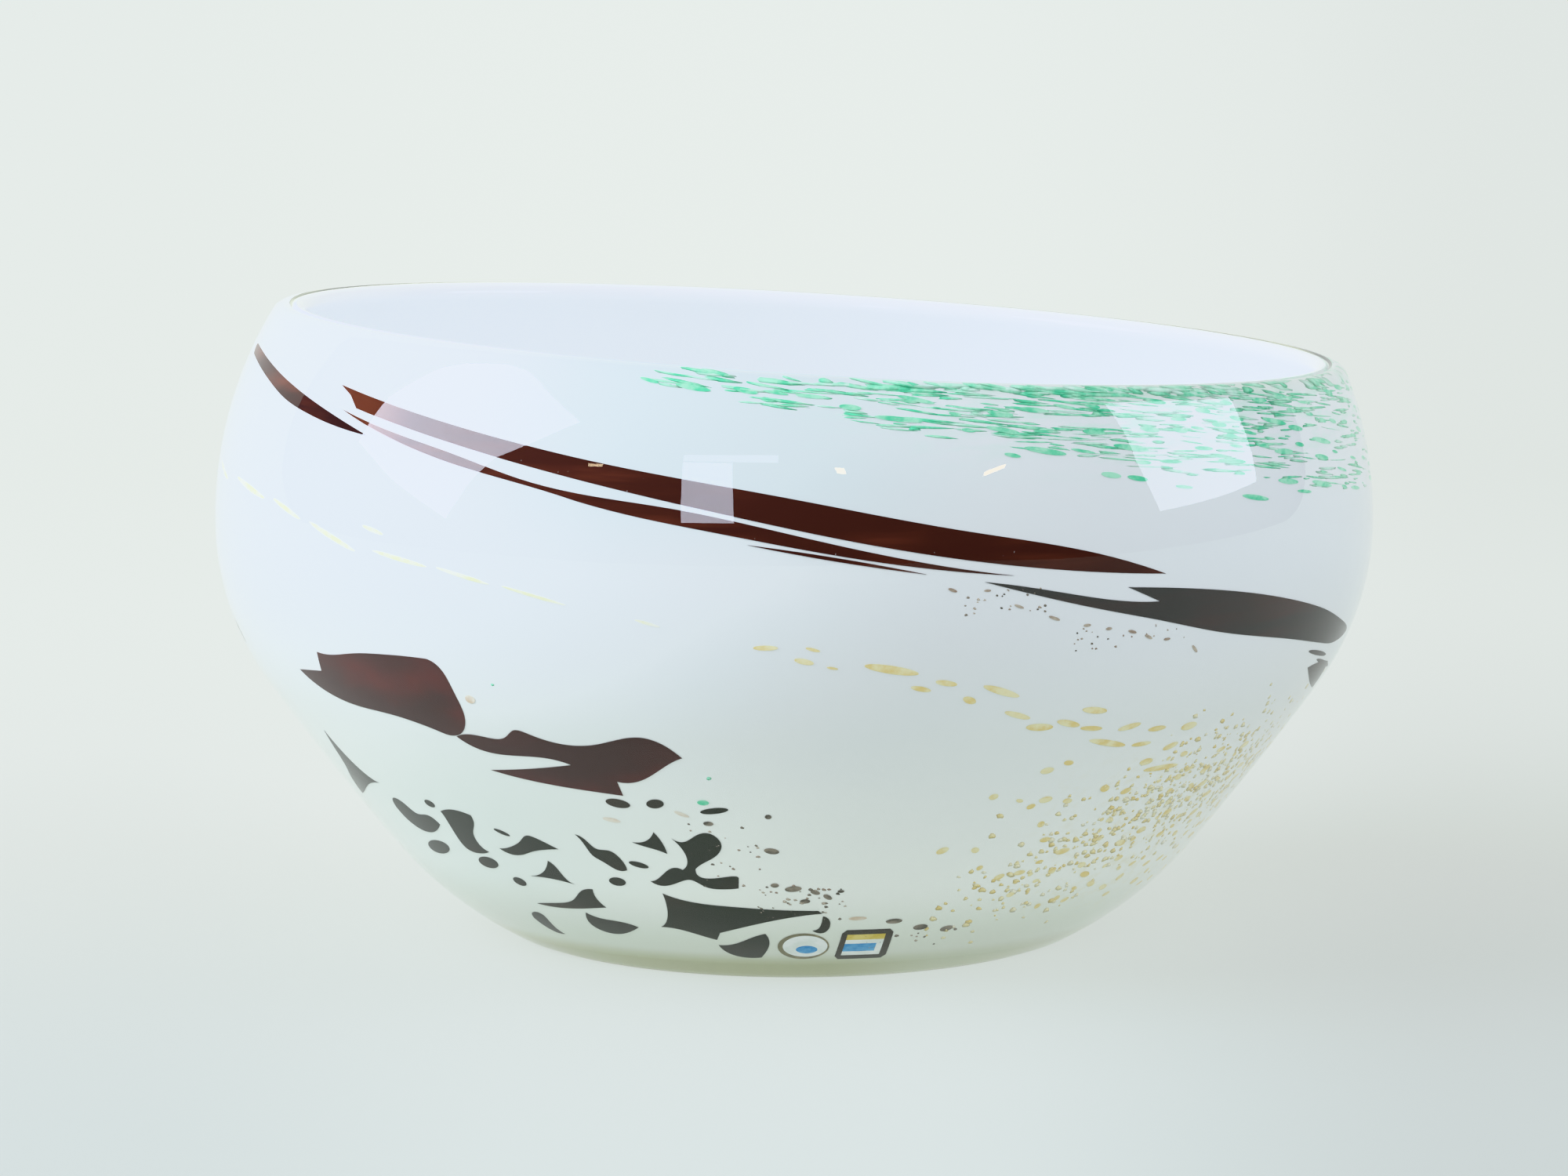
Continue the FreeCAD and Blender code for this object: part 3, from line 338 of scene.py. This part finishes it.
def coat_glass(name, roughness, ripple):
    """Clear glass that lamps and soft light pass straight through."""
    nodes = Nodes(name)
    shader = nodes.shader
    shader.inputs["Base Color"].default_value = (0.985, 0.995, 0.99, 1.0)
    shader.inputs["Transmission Weight"].default_value = 1.0
    shader.inputs["Roughness"].default_value = roughness
    shader.inputs["IOR"].default_value = 1.5
    wave = nodes.noise(nodes.stretched((0.03, 0.03, 0.09)), 1.0, 1.0)
    nodes.bump(wave, ripple)
    clear = nodes.add("ShaderNodeBsdfTransparent")
    clear.inputs["Color"].default_value = (0.97, 0.985, 0.98, 1.0)
    rays = nodes.add("ShaderNodeLightPath")
    passing = nodes.math("MAXIMUM", rays.outputs["Is Shadow Ray"], rays.outputs["Is Diffuse Ray"])
    mixer = nodes.add("ShaderNodeMixShader", Fac=passing)
    nodes.tree.links.new(shader.outputs[0], mixer.inputs[1])
    nodes.tree.links.new(clear.outputs[0], mixer.inputs[2])
    nodes.tree.links.new(mixer.outputs[0], nodes.output.inputs["Surface"])
    depth = nodes.add("ShaderNodeVolumeAbsorption")
    depth.inputs["Color"].default_value = (0.80, 0.76, 0.16, 1.0)
    depth.inputs["Density"].default_value = 9.0
    nodes.tree.links.new(depth.outputs[0], nodes.output.inputs["Volume"])
    return nodes.material


def front_azimuth(nodes, x, y):
    """Degrees round the bowl from the front, positive to the right."""
    turned = nodes.math("ARCTAN2", x, nodes.both(y, -1.0))
    return nodes.both(turned, 180.0 / math.pi)


def opal_glass(name, polished):
    """White opal: faint clouds, bluer above, greener below and at the lower left, haze by the frit.

    The tints under the lip, at the lower left and at the foot, and the darker top of the outer opal, are
    partly its own colour and partly painted shade; its lighter, greener lower wall is partly painted
    floor light.
    """
    nodes = Nodes(name)
    x, y, z = nodes.split()
    height = nodes.both(z, 1.0 / MM)
    cloud = nodes.noise(nodes.stretched((0.02, 0.02, 0.045)), 1.0, 3.0)
    upper = nodes.range(nodes.math("ADD", height, nodes.both(cloud, 14.0)), 16.0, 62.0)
    if polished:
        colour = nodes.mix(upper, (0.915, 0.945, 0.945), (0.918, 0.945, 0.962))
    else:
        azimuth = front_azimuth(nodes, x, y)
        # Painted shade and light, in part: the outer opal is darker and bluer above, lighter and greener
        # below.
        colour = nodes.mix(upper, (0.848, 0.870, 0.835), (0.748, 0.772, 0.803))
        # Partly painted shade: a darker, greener tint over the lower left of the outer wall.
        lower_left_tint_and_shade = nodes.both(
            nodes.range(azimuth, -45.0, -4.0, 0.9, 0.0), nodes.range(height, 22.0, 46.0, 1.0, 0.0)
        )
        colour = nodes.mix(lower_left_tint_and_shade, colour, (0.690, 0.735, 0.700))
        # Partly painted shade: a darker grey-blue band just under the lip at the front left.
        under_lip_tint_and_shade = nodes.both(
            nodes.range(azimuth, -36.0, -14.0), nodes.range(azimuth, 0.0, 22.0, 0.8, 0.0)
        )
        under_lip_tint_and_shade = nodes.both(under_lip_tint_and_shade, nodes.range(height, 54.0, 66.0))
        colour = nodes.mix(under_lip_tint_and_shade, colour, (0.640, 0.705, 0.735))
        # Partly painted shade: darker and greener towards the foot.
        colour = nodes.mix(nodes.range(height, 3.0, 16.0, 0.7, 0.0), colour, (0.590, 0.630, 0.540))
        base_shade = nodes.both(
            nodes.range(height, 3.4, 5.6, 1.0, 0.0), nodes.range(azimuth, 4.0, 28.0, 0.95, 0.55)
        )
        colour = nodes.mix(base_shade, colour, (0.46, 0.48, 0.31))
        fall = nodes.math("MULTIPLY_ADD", x, RIM_SLOPE / MM, height)
        under_rim = nodes.math("SUBTRACT", RIM_HEIGHT, fall)
        thread = nodes.noise(nodes.stretched((0.16, 0.16, 0.9)), 1.0, 4.0, 0.6)
        reach = nodes.both(
            nodes.range(under_rim, 2.0, 13.0, 1.0, 0.0),
            nodes.range(azimuth, -8.0, 40.0),
        )
        reach = nodes.both(reach, nodes.range(azimuth, 100.0, 125.0, 1.0, 0.0))
        haze = nodes.math("MULTIPLY", reach, nodes.range(thread, 0.42, 0.72), clamp=True)
        colour = nodes.mix(nodes.both(haze, 0.5), colour, (0.46, 0.76, 0.62))
        lip_line = nodes.both(
            nodes.range(under_rim, 0.6, 3.0, 1.0, 0.0), nodes.range(azimuth, 5.0, 40.0)
        )
        colour = nodes.mix(nodes.both(lip_line, 0.35), colour, (0.52, 0.60, 0.44))
        dust = nodes.noise(nodes.stretched((0.5, 0.5, 0.7)), 1.0, 4.0, 0.6)
        cloud_area = nodes.both(
            nodes.range(azimuth, 22.0, 48.0), nodes.range(azimuth, 84.0, 100.0, 1.0, 0.0)
        )
        cloud_area = nodes.both(
            cloud_area,
            nodes.both(
                nodes.range(height, 5.0, 14.0), nodes.range(height, 24.0, 36.0, 1.0, 0.0)
            ),
        )
        haze = nodes.math("MULTIPLY", cloud_area, nodes.range(dust, 0.45, 0.75), clamp=True)
        colour = nodes.mix(nodes.both(haze, 0.35), colour, (0.74, 0.68, 0.46))
    nodes.put(nodes.shader.inputs["Base Color"], colour)
    nodes.shader.inputs["Roughness"].default_value = 0.08 if polished else 0.6
    nodes.shader.inputs["IOR"].default_value = 1.5
    nodes.shader.inputs["Specular IOR Level"].default_value = 0.5 if polished else 0.0
    if polished:
        nodes.bump(nodes.noise(nodes.stretched((0.05, 0.05, 0.1)), 1.0, 1.0), 0.0001)
    return nodes.material


def dark_glass(name, deep, warm, grain, speck=0.0):
    """Dark transparent glass on the opal: redder and lighter in lengthwise threads."""
    nodes = Nodes(name)
    thread = nodes.noise(nodes.stretched(grain), 1.0, 3.0, 0.55)
    cloud = nodes.noise(nodes.stretched((0.06, 0.06, 0.12)), 1.0, 2.0)
    share = nodes.both(nodes.range(thread, 0.35, 0.75), nodes.range(cloud, 0.3, 0.7))
    colour = nodes.mix(share, deep, warm)
    if speck:
        tip = nodes.range(nodes.split()[0], -0.0510, -0.0445, 0.38, 0.0)
        colour = nodes.mix(tip, colour, (0.25, 0.075, 0.040))
        seeds = nodes.noise(nodes.stretched((2.1, 2.1, 2.1)), 1.0, 1.0)
        colour = nodes.mix(
            nodes.both(nodes.range(seeds, 0.79, 0.83), speck), colour, (0.55, 0.50, 0.50)
        )
    nodes.put(nodes.shader.inputs["Base Color"], colour)
    nodes.shader.inputs["Roughness"].default_value = 0.5
    nodes.shader.inputs["Specular IOR Level"].default_value = 0.0
    return nodes.material


def frit_glass(name, thick, thin, scale=0.45, low=0.35, high=0.65):
    """Bright frit: full colour where thick, pale where it thins over the opal."""
    nodes = Nodes(name)
    depth = nodes.noise(nodes.stretched((scale, scale, scale * 1.6)), 1.0, 4.0, 0.6)
    nodes.put(nodes.shader.inputs["Base Color"], nodes.mix(nodes.range(depth, low, high), thin, thick))
    nodes.shader.inputs["Roughness"].default_value = 0.5
    nodes.shader.inputs["Specular IOR Level"].default_value = 0.0
    return nodes.material


MATERIALS = {
    "clear": coat_glass("clear_casing", 0.0, 0.00012),
    "ground": coat_glass("ground_base", 0.28, 0.00002),
    "opal": opal_glass("opal_under_coat", polished=False),
    "opal_inside": opal_glass("opal_polished_inside", polished=True),
    "burgundy": dark_glass(
        "burgundy_ribbon", (0.064, 0.028, 0.023), (0.135, 0.048, 0.034), (0.05, 0.05, 0.8), 0.6
    ),
    "burgundy_deep": dark_glass(
        "burgundy_ribbon_deep", (0.046, 0.022, 0.020), (0.190, 0.050, 0.028), (0.05, 0.05, 0.4)
    ),
    "olive": dark_glass(
        "olive_ring", (0.200, 0.185, 0.120), (0.380, 0.330, 0.200), (0.8, 0.8, 0.8)
    ),
    "dust": frit_glass("umber_dust", (0.120, 0.110, 0.090), (0.300, 0.260, 0.210)),
    "umber": dark_glass(
        "umber_shard", (0.058, 0.060, 0.050), (0.078, 0.068, 0.056), (0.06, 0.06, 0.12)
    ),
    "grey_umber": dark_glass(
        "grey_umber_ribbon", (0.072, 0.068, 0.064), (0.110, 0.066, 0.060), (0.02, 0.02, 0.2)
    ),
    "red_umber": dark_glass(
        "red_umber_shard", (0.078, 0.050, 0.046), (0.150, 0.052, 0.046), (0.05, 0.05, 0.12)
    ),
    "tan": frit_glass("tan_slip", (0.62, 0.50, 0.38), (0.74, 0.70, 0.62)),
    "brown": frit_glass("brown_speck", (0.30, 0.22, 0.17), (0.52, 0.46, 0.38)),
    "green": frit_glass("green_frit_vivid", (0.130, 0.600, 0.365), (0.400, 0.750, 0.570)),
    "green_pale": frit_glass("green_frit_pale", (0.340, 0.700, 0.520), (0.580, 0.780, 0.700)),
    "yellow": frit_glass("yellow_frit_deep", (0.74, 0.60, 0.26), (0.80, 0.75, 0.50)),
    "yellow_pale": frit_glass("yellow_frit_pale", (0.77, 0.70, 0.44), (0.80, 0.78, 0.64)),
    "yellow_faint": frit_glass("yellow_frit_faint", (0.74, 0.75, 0.54), (0.79, 0.80, 0.74)),
    "white": frit_glass("murrine_white", (0.72, 0.76, 0.74), (0.82, 0.84, 0.84)),
    "blue": frit_glass("murrine_blue", (0.04, 0.26, 0.58), (0.16, 0.45, 0.72)),
    "murrine_yellow": frit_glass("murrine_yellow", (0.60, 0.46, 0.08), (0.72, 0.60, 0.20)),
}

REDDISH = ("shard_left", "shard_swallow", "shard_back_fin", "shard_back_leaf")
GREYED = ("ribbon_right", "streaks_right", "chip_right", "ribbon_back_thin")


def material_key(node):
    """Name of the material that a CAD node gets."""
    if node == "chip_tan_slips":
        return "tan"
    if node == "brown_specks":
        return "brown"
    if node == "chip_specks":
        return "dust"
    if node == "murrine_round_ring":
        return "olive"
    if node == "ribbon_left":
        return "burgundy_deep"
    if node == "green_frit":
        return "green"
    if node == "murrine_bar_yellow":
        return "murrine_yellow"
    if node == "yellow_streak":
        return "yellow_faint"
    if node.startswith("yellow"):
        return "yellow"
    if node in ("murrine_round_field", "murrine_bar_field"):
        return "white"
    if node in ("murrine_round_core", "murrine_bar_blue"):
        return "blue"
    if node in GREYED:
        return "grey_umber"
    if node in REDDISH:
        return "red_umber"
    if node.startswith(("ribbon", "thread", "streaks")):
        return "burgundy"
    return "umber"


for node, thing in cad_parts.items():
    if node not in ("clear_coat", "opal_cup"):
        for material_slot in thing.material_slots:
            material_slot.material = MATERIALS[material_key(node)]

# ---------------------------------------------------------------- coat and cup

BASE_RINGS = 10         # the base disc and its bevel
coat = turn("coat_casing", coat_section, lambda index: 1 if index < BASE_RINGS else 0)
coat.data.materials.append(MATERIALS["clear"])
coat.data.materials.append(MATERIALS["ground"])
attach(coat, "root")
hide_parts("clear_coat")

# Under the cup, its corner, up to the belly, up to the lip and round its outer edge.
CUP_OUTSIDE_RINGS = 9 + 7 + 58 + 26 + 8
cup = turn("opal_body", cup_section, lambda index: 0 if index < CUP_OUTSIDE_RINGS else 1)
cup.data.materials.append(MATERIALS["opal"])
cup.data.materials.append(MATERIALS["opal_inside"])
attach(cup, "root")
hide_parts("opal_cup")

# ---------------------------------------------------------------- fine frit


def sow(name, grains, material_names, seed):
    """Thin lens-shaped grains on the opal: (azimuth, height, length, width, slope)."""
    chance = random.Random(seed)
    vertices, faces, slots = [], [], []
    for azimuth, height, length, width, slope in grains:
        middle = on_surface(azimuth, height, COAT_WALL)
        outward = middle - on_surface(azimuth, height, COAT_WALL + 1.0)
        outward.normalize()
        along = Vector((math.cos(math.radians(azimuth)), math.sin(math.radians(azimuth)), 0.0))
        across = outward.cross(along)
        tilt = math.radians(slope)
        long_way = along * math.cos(tilt) + across * math.sin(tilt)
        wide_way = across * math.cos(tilt) - along * math.sin(tilt)
        first = len(vertices)
        corners = 10
        for corner in range(corners):
            angle = 2 * math.pi * corner / corners
            wobble = chance.uniform(0.75, 1.15)
            taper = 1.0 - 0.35 * math.cos(angle)
            point = (
                middle
                + long_way * (math.cos(angle) * length * 0.5 * wobble * MM)
                + wide_way * (math.sin(angle) * width * 0.5 * wobble * taper * MM)
            )
            radius = math.hypot(point.x, point.y) / MM
            sunk = wall_radius(point.z / MM, COAT_WALL + INLAY_RELIEF) / radius
            vertices.append((point.x * sunk, point.y * sunk, point.z))
        vertices.append(middle + outward * (0.05 * MM))
        vertices.append(middle - outward * (0.20 * MM))
        slot_index = chance.randrange(len(material_names))
        for corner in range(corners):
            following = (corner + 1) % corners
            faces.append((first + corner, first + following, first + corners))
            faces.append((first + following, first + corner, first + corners + 1))
            slots += [slot_index, slot_index]
    mesh = bpy.data.meshes.new(name)
    mesh.from_pydata(vertices, [], faces)
    mesh.polygons.foreach_set("use_smooth", [True] * len(faces))
    mesh.polygons.foreach_set("material_index", slots)
    for material_name in material_names:
        mesh.materials.append(MATERIALS[material_name])
    mesh.update()
    piece = bpy.data.objects.new(name, mesh)
    bpy.context.scene.collection.objects.link(piece)
    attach(piece, "root")
    return piece


def rim_height_at(azimuth):
    """Height of the rim plane over the wall at an azimuth."""
    x = (wall_radius(RIM_HEIGHT, 0.0)) * math.sin(math.radians(azimuth))
    return RIM_HEIGHT - RIM_SLOPE * x


def green_grains(count, seed):
    """Streaks drawn out along the turn, hanging from the rim at the right."""
    chance = random.Random(seed)
    grains = []
    for _ in range(count):
        azimuth = chance.triangular(-17.0, 122.0, 48.0)
        share = min(1.0, max(0.05, (azimuth + 16.0) / 85.0))
        depth = 1.1 + (1.2 + 12.5 * share) * chance.random() ** 1.8
        height = rim_height_at(azimuth) - depth
        length = chance.uniform(1.4, 7.5) if azimuth < 75.0 else chance.uniform(1.0, 4.0)
        grains.append(
            (azimuth, height, length, chance.uniform(0.14, 0.40), chance.uniform(-10.0, -3.0))
        )
    return grains


def yellow_grains(count, seed):
    """A drifting cloud on the right flank, thickest in its middle."""
    chance = random.Random(seed)
    grains = []
    for _ in range(count):
        azimuth = chance.gauss(52.0, 15.0)
        middle = 12.0 + 0.5 * (min(azimuth, 50.0) - 24.0)
        height = chance.gauss(middle, 5.0)
        if 5.5 < height < 38.0 and 20.0 < azimuth < 104.0:
            size = chance.uniform(0.20, 0.72)
            grains.append((azimuth, height, size * chance.uniform(1.0, 2.2), size, -20.0))
    return grains


def stray_grains(count, seed, azimuths, heights, sizes):
    """Grains strewn evenly over a patch of the wall."""
    chance = random.Random(seed)
    grains = []
    for _ in range(count):
        size = chance.uniform(*sizes)
        grains.append(
            (chance.uniform(*azimuths), chance.uniform(*heights), size * 1.5, size, -15.0)
        )
    return grains


brown_dust = (
    stray_grains(46, 21, (-5.0, 7.0), (10.5, 15.5), (0.14, 0.40))
    + stray_grains(26, 22, (-13.0, -4.0), (15.0, 24.0), (0.14, 0.36))
    + stray_grains(16, 23, (10.0, 26.0), (5.5, 8.5), (0.14, 0.40))
    + stray_grains(26, 24, (15.0, 24.0), (50.0, 53.0), (0.12, 0.30))
    + stray_grains(26, 25, (26.0, 40.0), (45.0, 48.0), (0.12, 0.30))
)
sow("green_frit_fine", green_grains(640, 3), ("green", "green", "green_pale"), 5)
sow("yellow_frit_fine", yellow_grains(820, 9), ("yellow", "yellow", "yellow_pale"), 6)
sow("brown_dust", brown_dust, ("brown", "dust"), 8)
sow(
    "green_strays", [(-9.0, 30.4, 0.7, 0.5, 0.0), (-30.0, 41.0, 0.5, 0.3, 0.0)],
    ("green",), 4,
)

# ---------------------------------------------------------------- studio

PANE_DISTANCE = 1.3     # metres from the bowl to the panes of light
PANE_MIDDLE = 0.06      # height of the point they are aimed at
EYE_DISTANCE = 0.62     # metres from the bowl to the eye, for the fall of light to the sides

scene = bpy.context.scene
scene.view_settings.view_transform = "Khronos PBR Neutral"
scene.view_settings.look = "None"


def glowing(name, colour, strength):
    material = bpy.data.materials.new(name)
    material.use_nodes = True
    tree = material.node_tree
    tree.nodes.clear()
    light = tree.nodes.new("ShaderNodeEmission")
    light.inputs["Color"].default_value = (*colour, 1.0)
    light.inputs["Strength"].default_value = strength
    output = tree.nodes.new("ShaderNodeOutputMaterial")
    tree.links.new(light.outputs[0], output.inputs["Surface"])
    return material


def sweep():
    """Pale paper sweep: floor, a wide bend and the wall behind, glowing to soften the shadow."""
    half, front, back, bend, top = 1.75, -3.0, 0.55, 0.5, 2.2
    line = [(front + (back - front) * step / 12, 0.0) for step in range(13)]
    for step in range(1, 25):
        angle = math.pi / 2 * step / 24
        line.append((back + bend * math.sin(angle), bend * (1.0 - math.cos(angle))))
    line.append((back + bend, top))
    vertices = []
    for y, z in line:
        vertices += [(-half, y, z), (half, y, z)]
    faces = [(2 * i, 2 * i + 1, 2 * i + 3, 2 * i + 2) for i in range(len(line) - 1)]
    mesh = bpy.data.meshes.new("paper_sweep")
    mesh.from_pydata(vertices, [], faces)
    mesh.polygons.foreach_set("use_smooth", [True] * len(faces))
    piece = bpy.data.objects.new("paper_sweep", mesh)
    scene.collection.objects.link(piece)
    nodes = Nodes("pale_paper")
    mottle = nodes.noise(nodes.place, 3.0, 3.0)
    nodes.put(
        nodes.shader.inputs["Base Color"], nodes.mix(mottle, (0.800, 0.845, 0.820), (0.815, 0.858, 0.835))
    )
    nodes.shader.inputs["Roughness"].default_value = 0.7
    nodes.shader.inputs["Specular IOR Level"].default_value = 0.1
    # Painted light: the paper's glow dims to the right, a little at the far left and towards the front,
    # and is a cooler green at the front.
    x, y, _ = nodes.split()
    aside = nodes.math("DIVIDE", x, nodes.math("ADD", y, EYE_DISTANCE))
    level = nodes.math(
        "ADD", nodes.range(aside, 0.02, 0.15, 0.0, -0.14), nodes.range(aside, -0.15, -0.05, -0.06, 0.0)
    )
    level = nodes.math("ADD", level, nodes.range(y, -0.16, 0.34, 0.81, 1.0))
    glow = nodes.add("ShaderNodeEmission", Strength=level)
    nodes.put(
        glow.inputs["Color"],
        nodes.mix(nodes.range(y, -0.14, 0.06), (0.840, 0.925, 0.909), (0.875, 0.924, 0.880)),
    )
    share = nodes.add("ShaderNodeMixShader", Fac=0.845)
    nodes.tree.links.new(nodes.shader.outputs[0], share.inputs[1])
    nodes.tree.links.new(glow.outputs[0], share.inputs[2])
    nodes.tree.links.new(share.outputs[0], nodes.output.inputs["Surface"])
    mesh.materials.append(nodes.material)


def window(name, corners, colour, strength):
    """A glowing pane seen from the bowl: corners are (azimuth, elevation) in degrees."""
    vertices = []
    for azimuth, elevation in corners:
        around = math.radians(azimuth)
        up = math.radians(elevation)
        vertices.append(
            (
                PANE_DISTANCE * math.cos(up) * math.sin(around),
                -PANE_DISTANCE * math.cos(up) * math.cos(around),
                PANE_MIDDLE + PANE_DISTANCE * math.sin(up),
            )
        )
    mesh = bpy.data.meshes.new(name)
    mesh.from_pydata(vertices, [], [tuple(range(len(vertices)))])
    mesh.materials.append(glowing(name + "_glow", colour, strength))
    piece = bpy.data.objects.new(name, mesh)
    scene.collection.objects.link(piece)


def soft_box(name, place, aim, width, depth, colour, power):
    """A large soft lamp that lights the bowl but isn't mirrored in its gloss."""
    lamp = bpy.data.lights.new(name, "AREA")
    lamp.shape = "RECTANGLE"
    lamp.size = width
    lamp.size_y = depth
    lamp.color = colour
    lamp.energy = power
    holder = bpy.data.objects.new(name, lamp)
    holder.location = place
    holder.rotation_euler = (Vector(aim) - Vector(place)).to_track_quat("-Z", "Y").to_euler()
    holder.visible_glossy = False
    holder.visible_camera = False
    scene.collection.objects.link(holder)


def room():
    """Even room light, dim where it is only mirrored."""
    world = bpy.data.worlds.new("studio_room")
    scene.world = world
    world.use_nodes = True
    tree = world.node_tree
    tree.nodes.clear()
    soft = tree.nodes.new("ShaderNodeBackground")
    soft.inputs["Color"].default_value = (0.95, 0.96, 0.985, 1.0)
    soft.inputs["Strength"].default_value = 0.66
    mirrored = tree.nodes.new("ShaderNodeBackground")
    mirrored.inputs["Color"].default_value = (0.80, 0.88, 1.0, 1.0)
    mirrored.inputs["Strength"].default_value = 0.22
    rays = tree.nodes.new("ShaderNodeLightPath")
    mixer = tree.nodes.new("ShaderNodeMixShader")
    output = tree.nodes.new("ShaderNodeOutputWorld")
    only_mirrored = tree.nodes.new("ShaderNodeMath")
    only_mirrored.operation = "SUBTRACT"
    only_mirrored.use_clamp = True
    tree.links.new(rays.outputs["Is Glossy Ray"], only_mirrored.inputs[0])
    tree.links.new(rays.outputs["Is Transmission Ray"], only_mirrored.inputs[1])
    tree.links.new(only_mirrored.outputs[0], mixer.inputs[0])
    tree.links.new(soft.outputs[0], mixer.inputs[1])
    tree.links.new(mirrored.outputs[0], mixer.inputs[2])
    tree.links.new(mixer.outputs[0], output.inputs["Surface"])


sweep()
room()
DAYLIGHT = (0.88, 0.925, 1.09)
window(
    "window_right", [(70, 31), (70.2, 17), (72.7, 6.4), (99.6, 6.5), (102.6, 22.1), (95.5, 24)],
    DAYLIGHT, 6.0,
)
window(
    "window_left",
    [
        (-96, 15), (-94, 24.4), (-86.5, 33.5), (-72, 41), (-61.3, 39), (-46, 32), (-61.2, 20),
        (-65.3, 12.8), (-68.5, 5.2),
    ],
    DAYLIGHT, 10.5,
)
window("window_far", [(-22, 24.9), (-21, 8.8), (-11.1, 9.2), (-12, 25.4)], DAYLIGHT, 9.6)
window("window_far_top", [(-22, 27.2), (-22, 25.2), (-3, 25.6), (-3, 27.6)], DAYLIGHT, 6.5)
LAMPLIGHT = (1.0, 0.80, 0.52)
window("lamp_centre", [(8, 24), (8.5, 22.4), (10.2, 22.2), (9.8, 23.8)], LAMPLIGHT, 14.0)
window("lamp_right", [(36.5, 19.3), (41.5, 20.9), (42, 21.9), (37, 20.3)], LAMPLIGHT, 20.0)
window("lamp_left", [(-41, 21.2), (-38, 21.5), (-38, 22.3), (-41, 22.0)], LAMPLIGHT, 14.0)
soft_box("overhead", (0.0, -0.2, 1.8), (0.0, 0.0, 0.0), 2.0, 2.0, (0.95, 0.97, 1.0), 8.0)
soft_box("side_left", (-1.5, 0.0, 1.2), (0.0, 0.0, 0.05), 1.2, 1.2, (0.92, 0.94, 1.0), 18.0)

# ---------------------------------------------------------------- camera

camera = bpy.data.cameras.new("camera")
camera.sensor_width = 36.0
camera.lens = 108.9
eye = Vector((-0.0013, -0.6145, 0.1262))
look_at = Vector((-0.0013, 0.0, 0.0439))
holder = bpy.data.objects.new("camera", camera)
holder.location = eye
holder.rotation_euler = (look_at - eye).to_track_quat("-Z", "Y").to_euler()
scene.collection.objects.link(holder)
scene.camera = holder
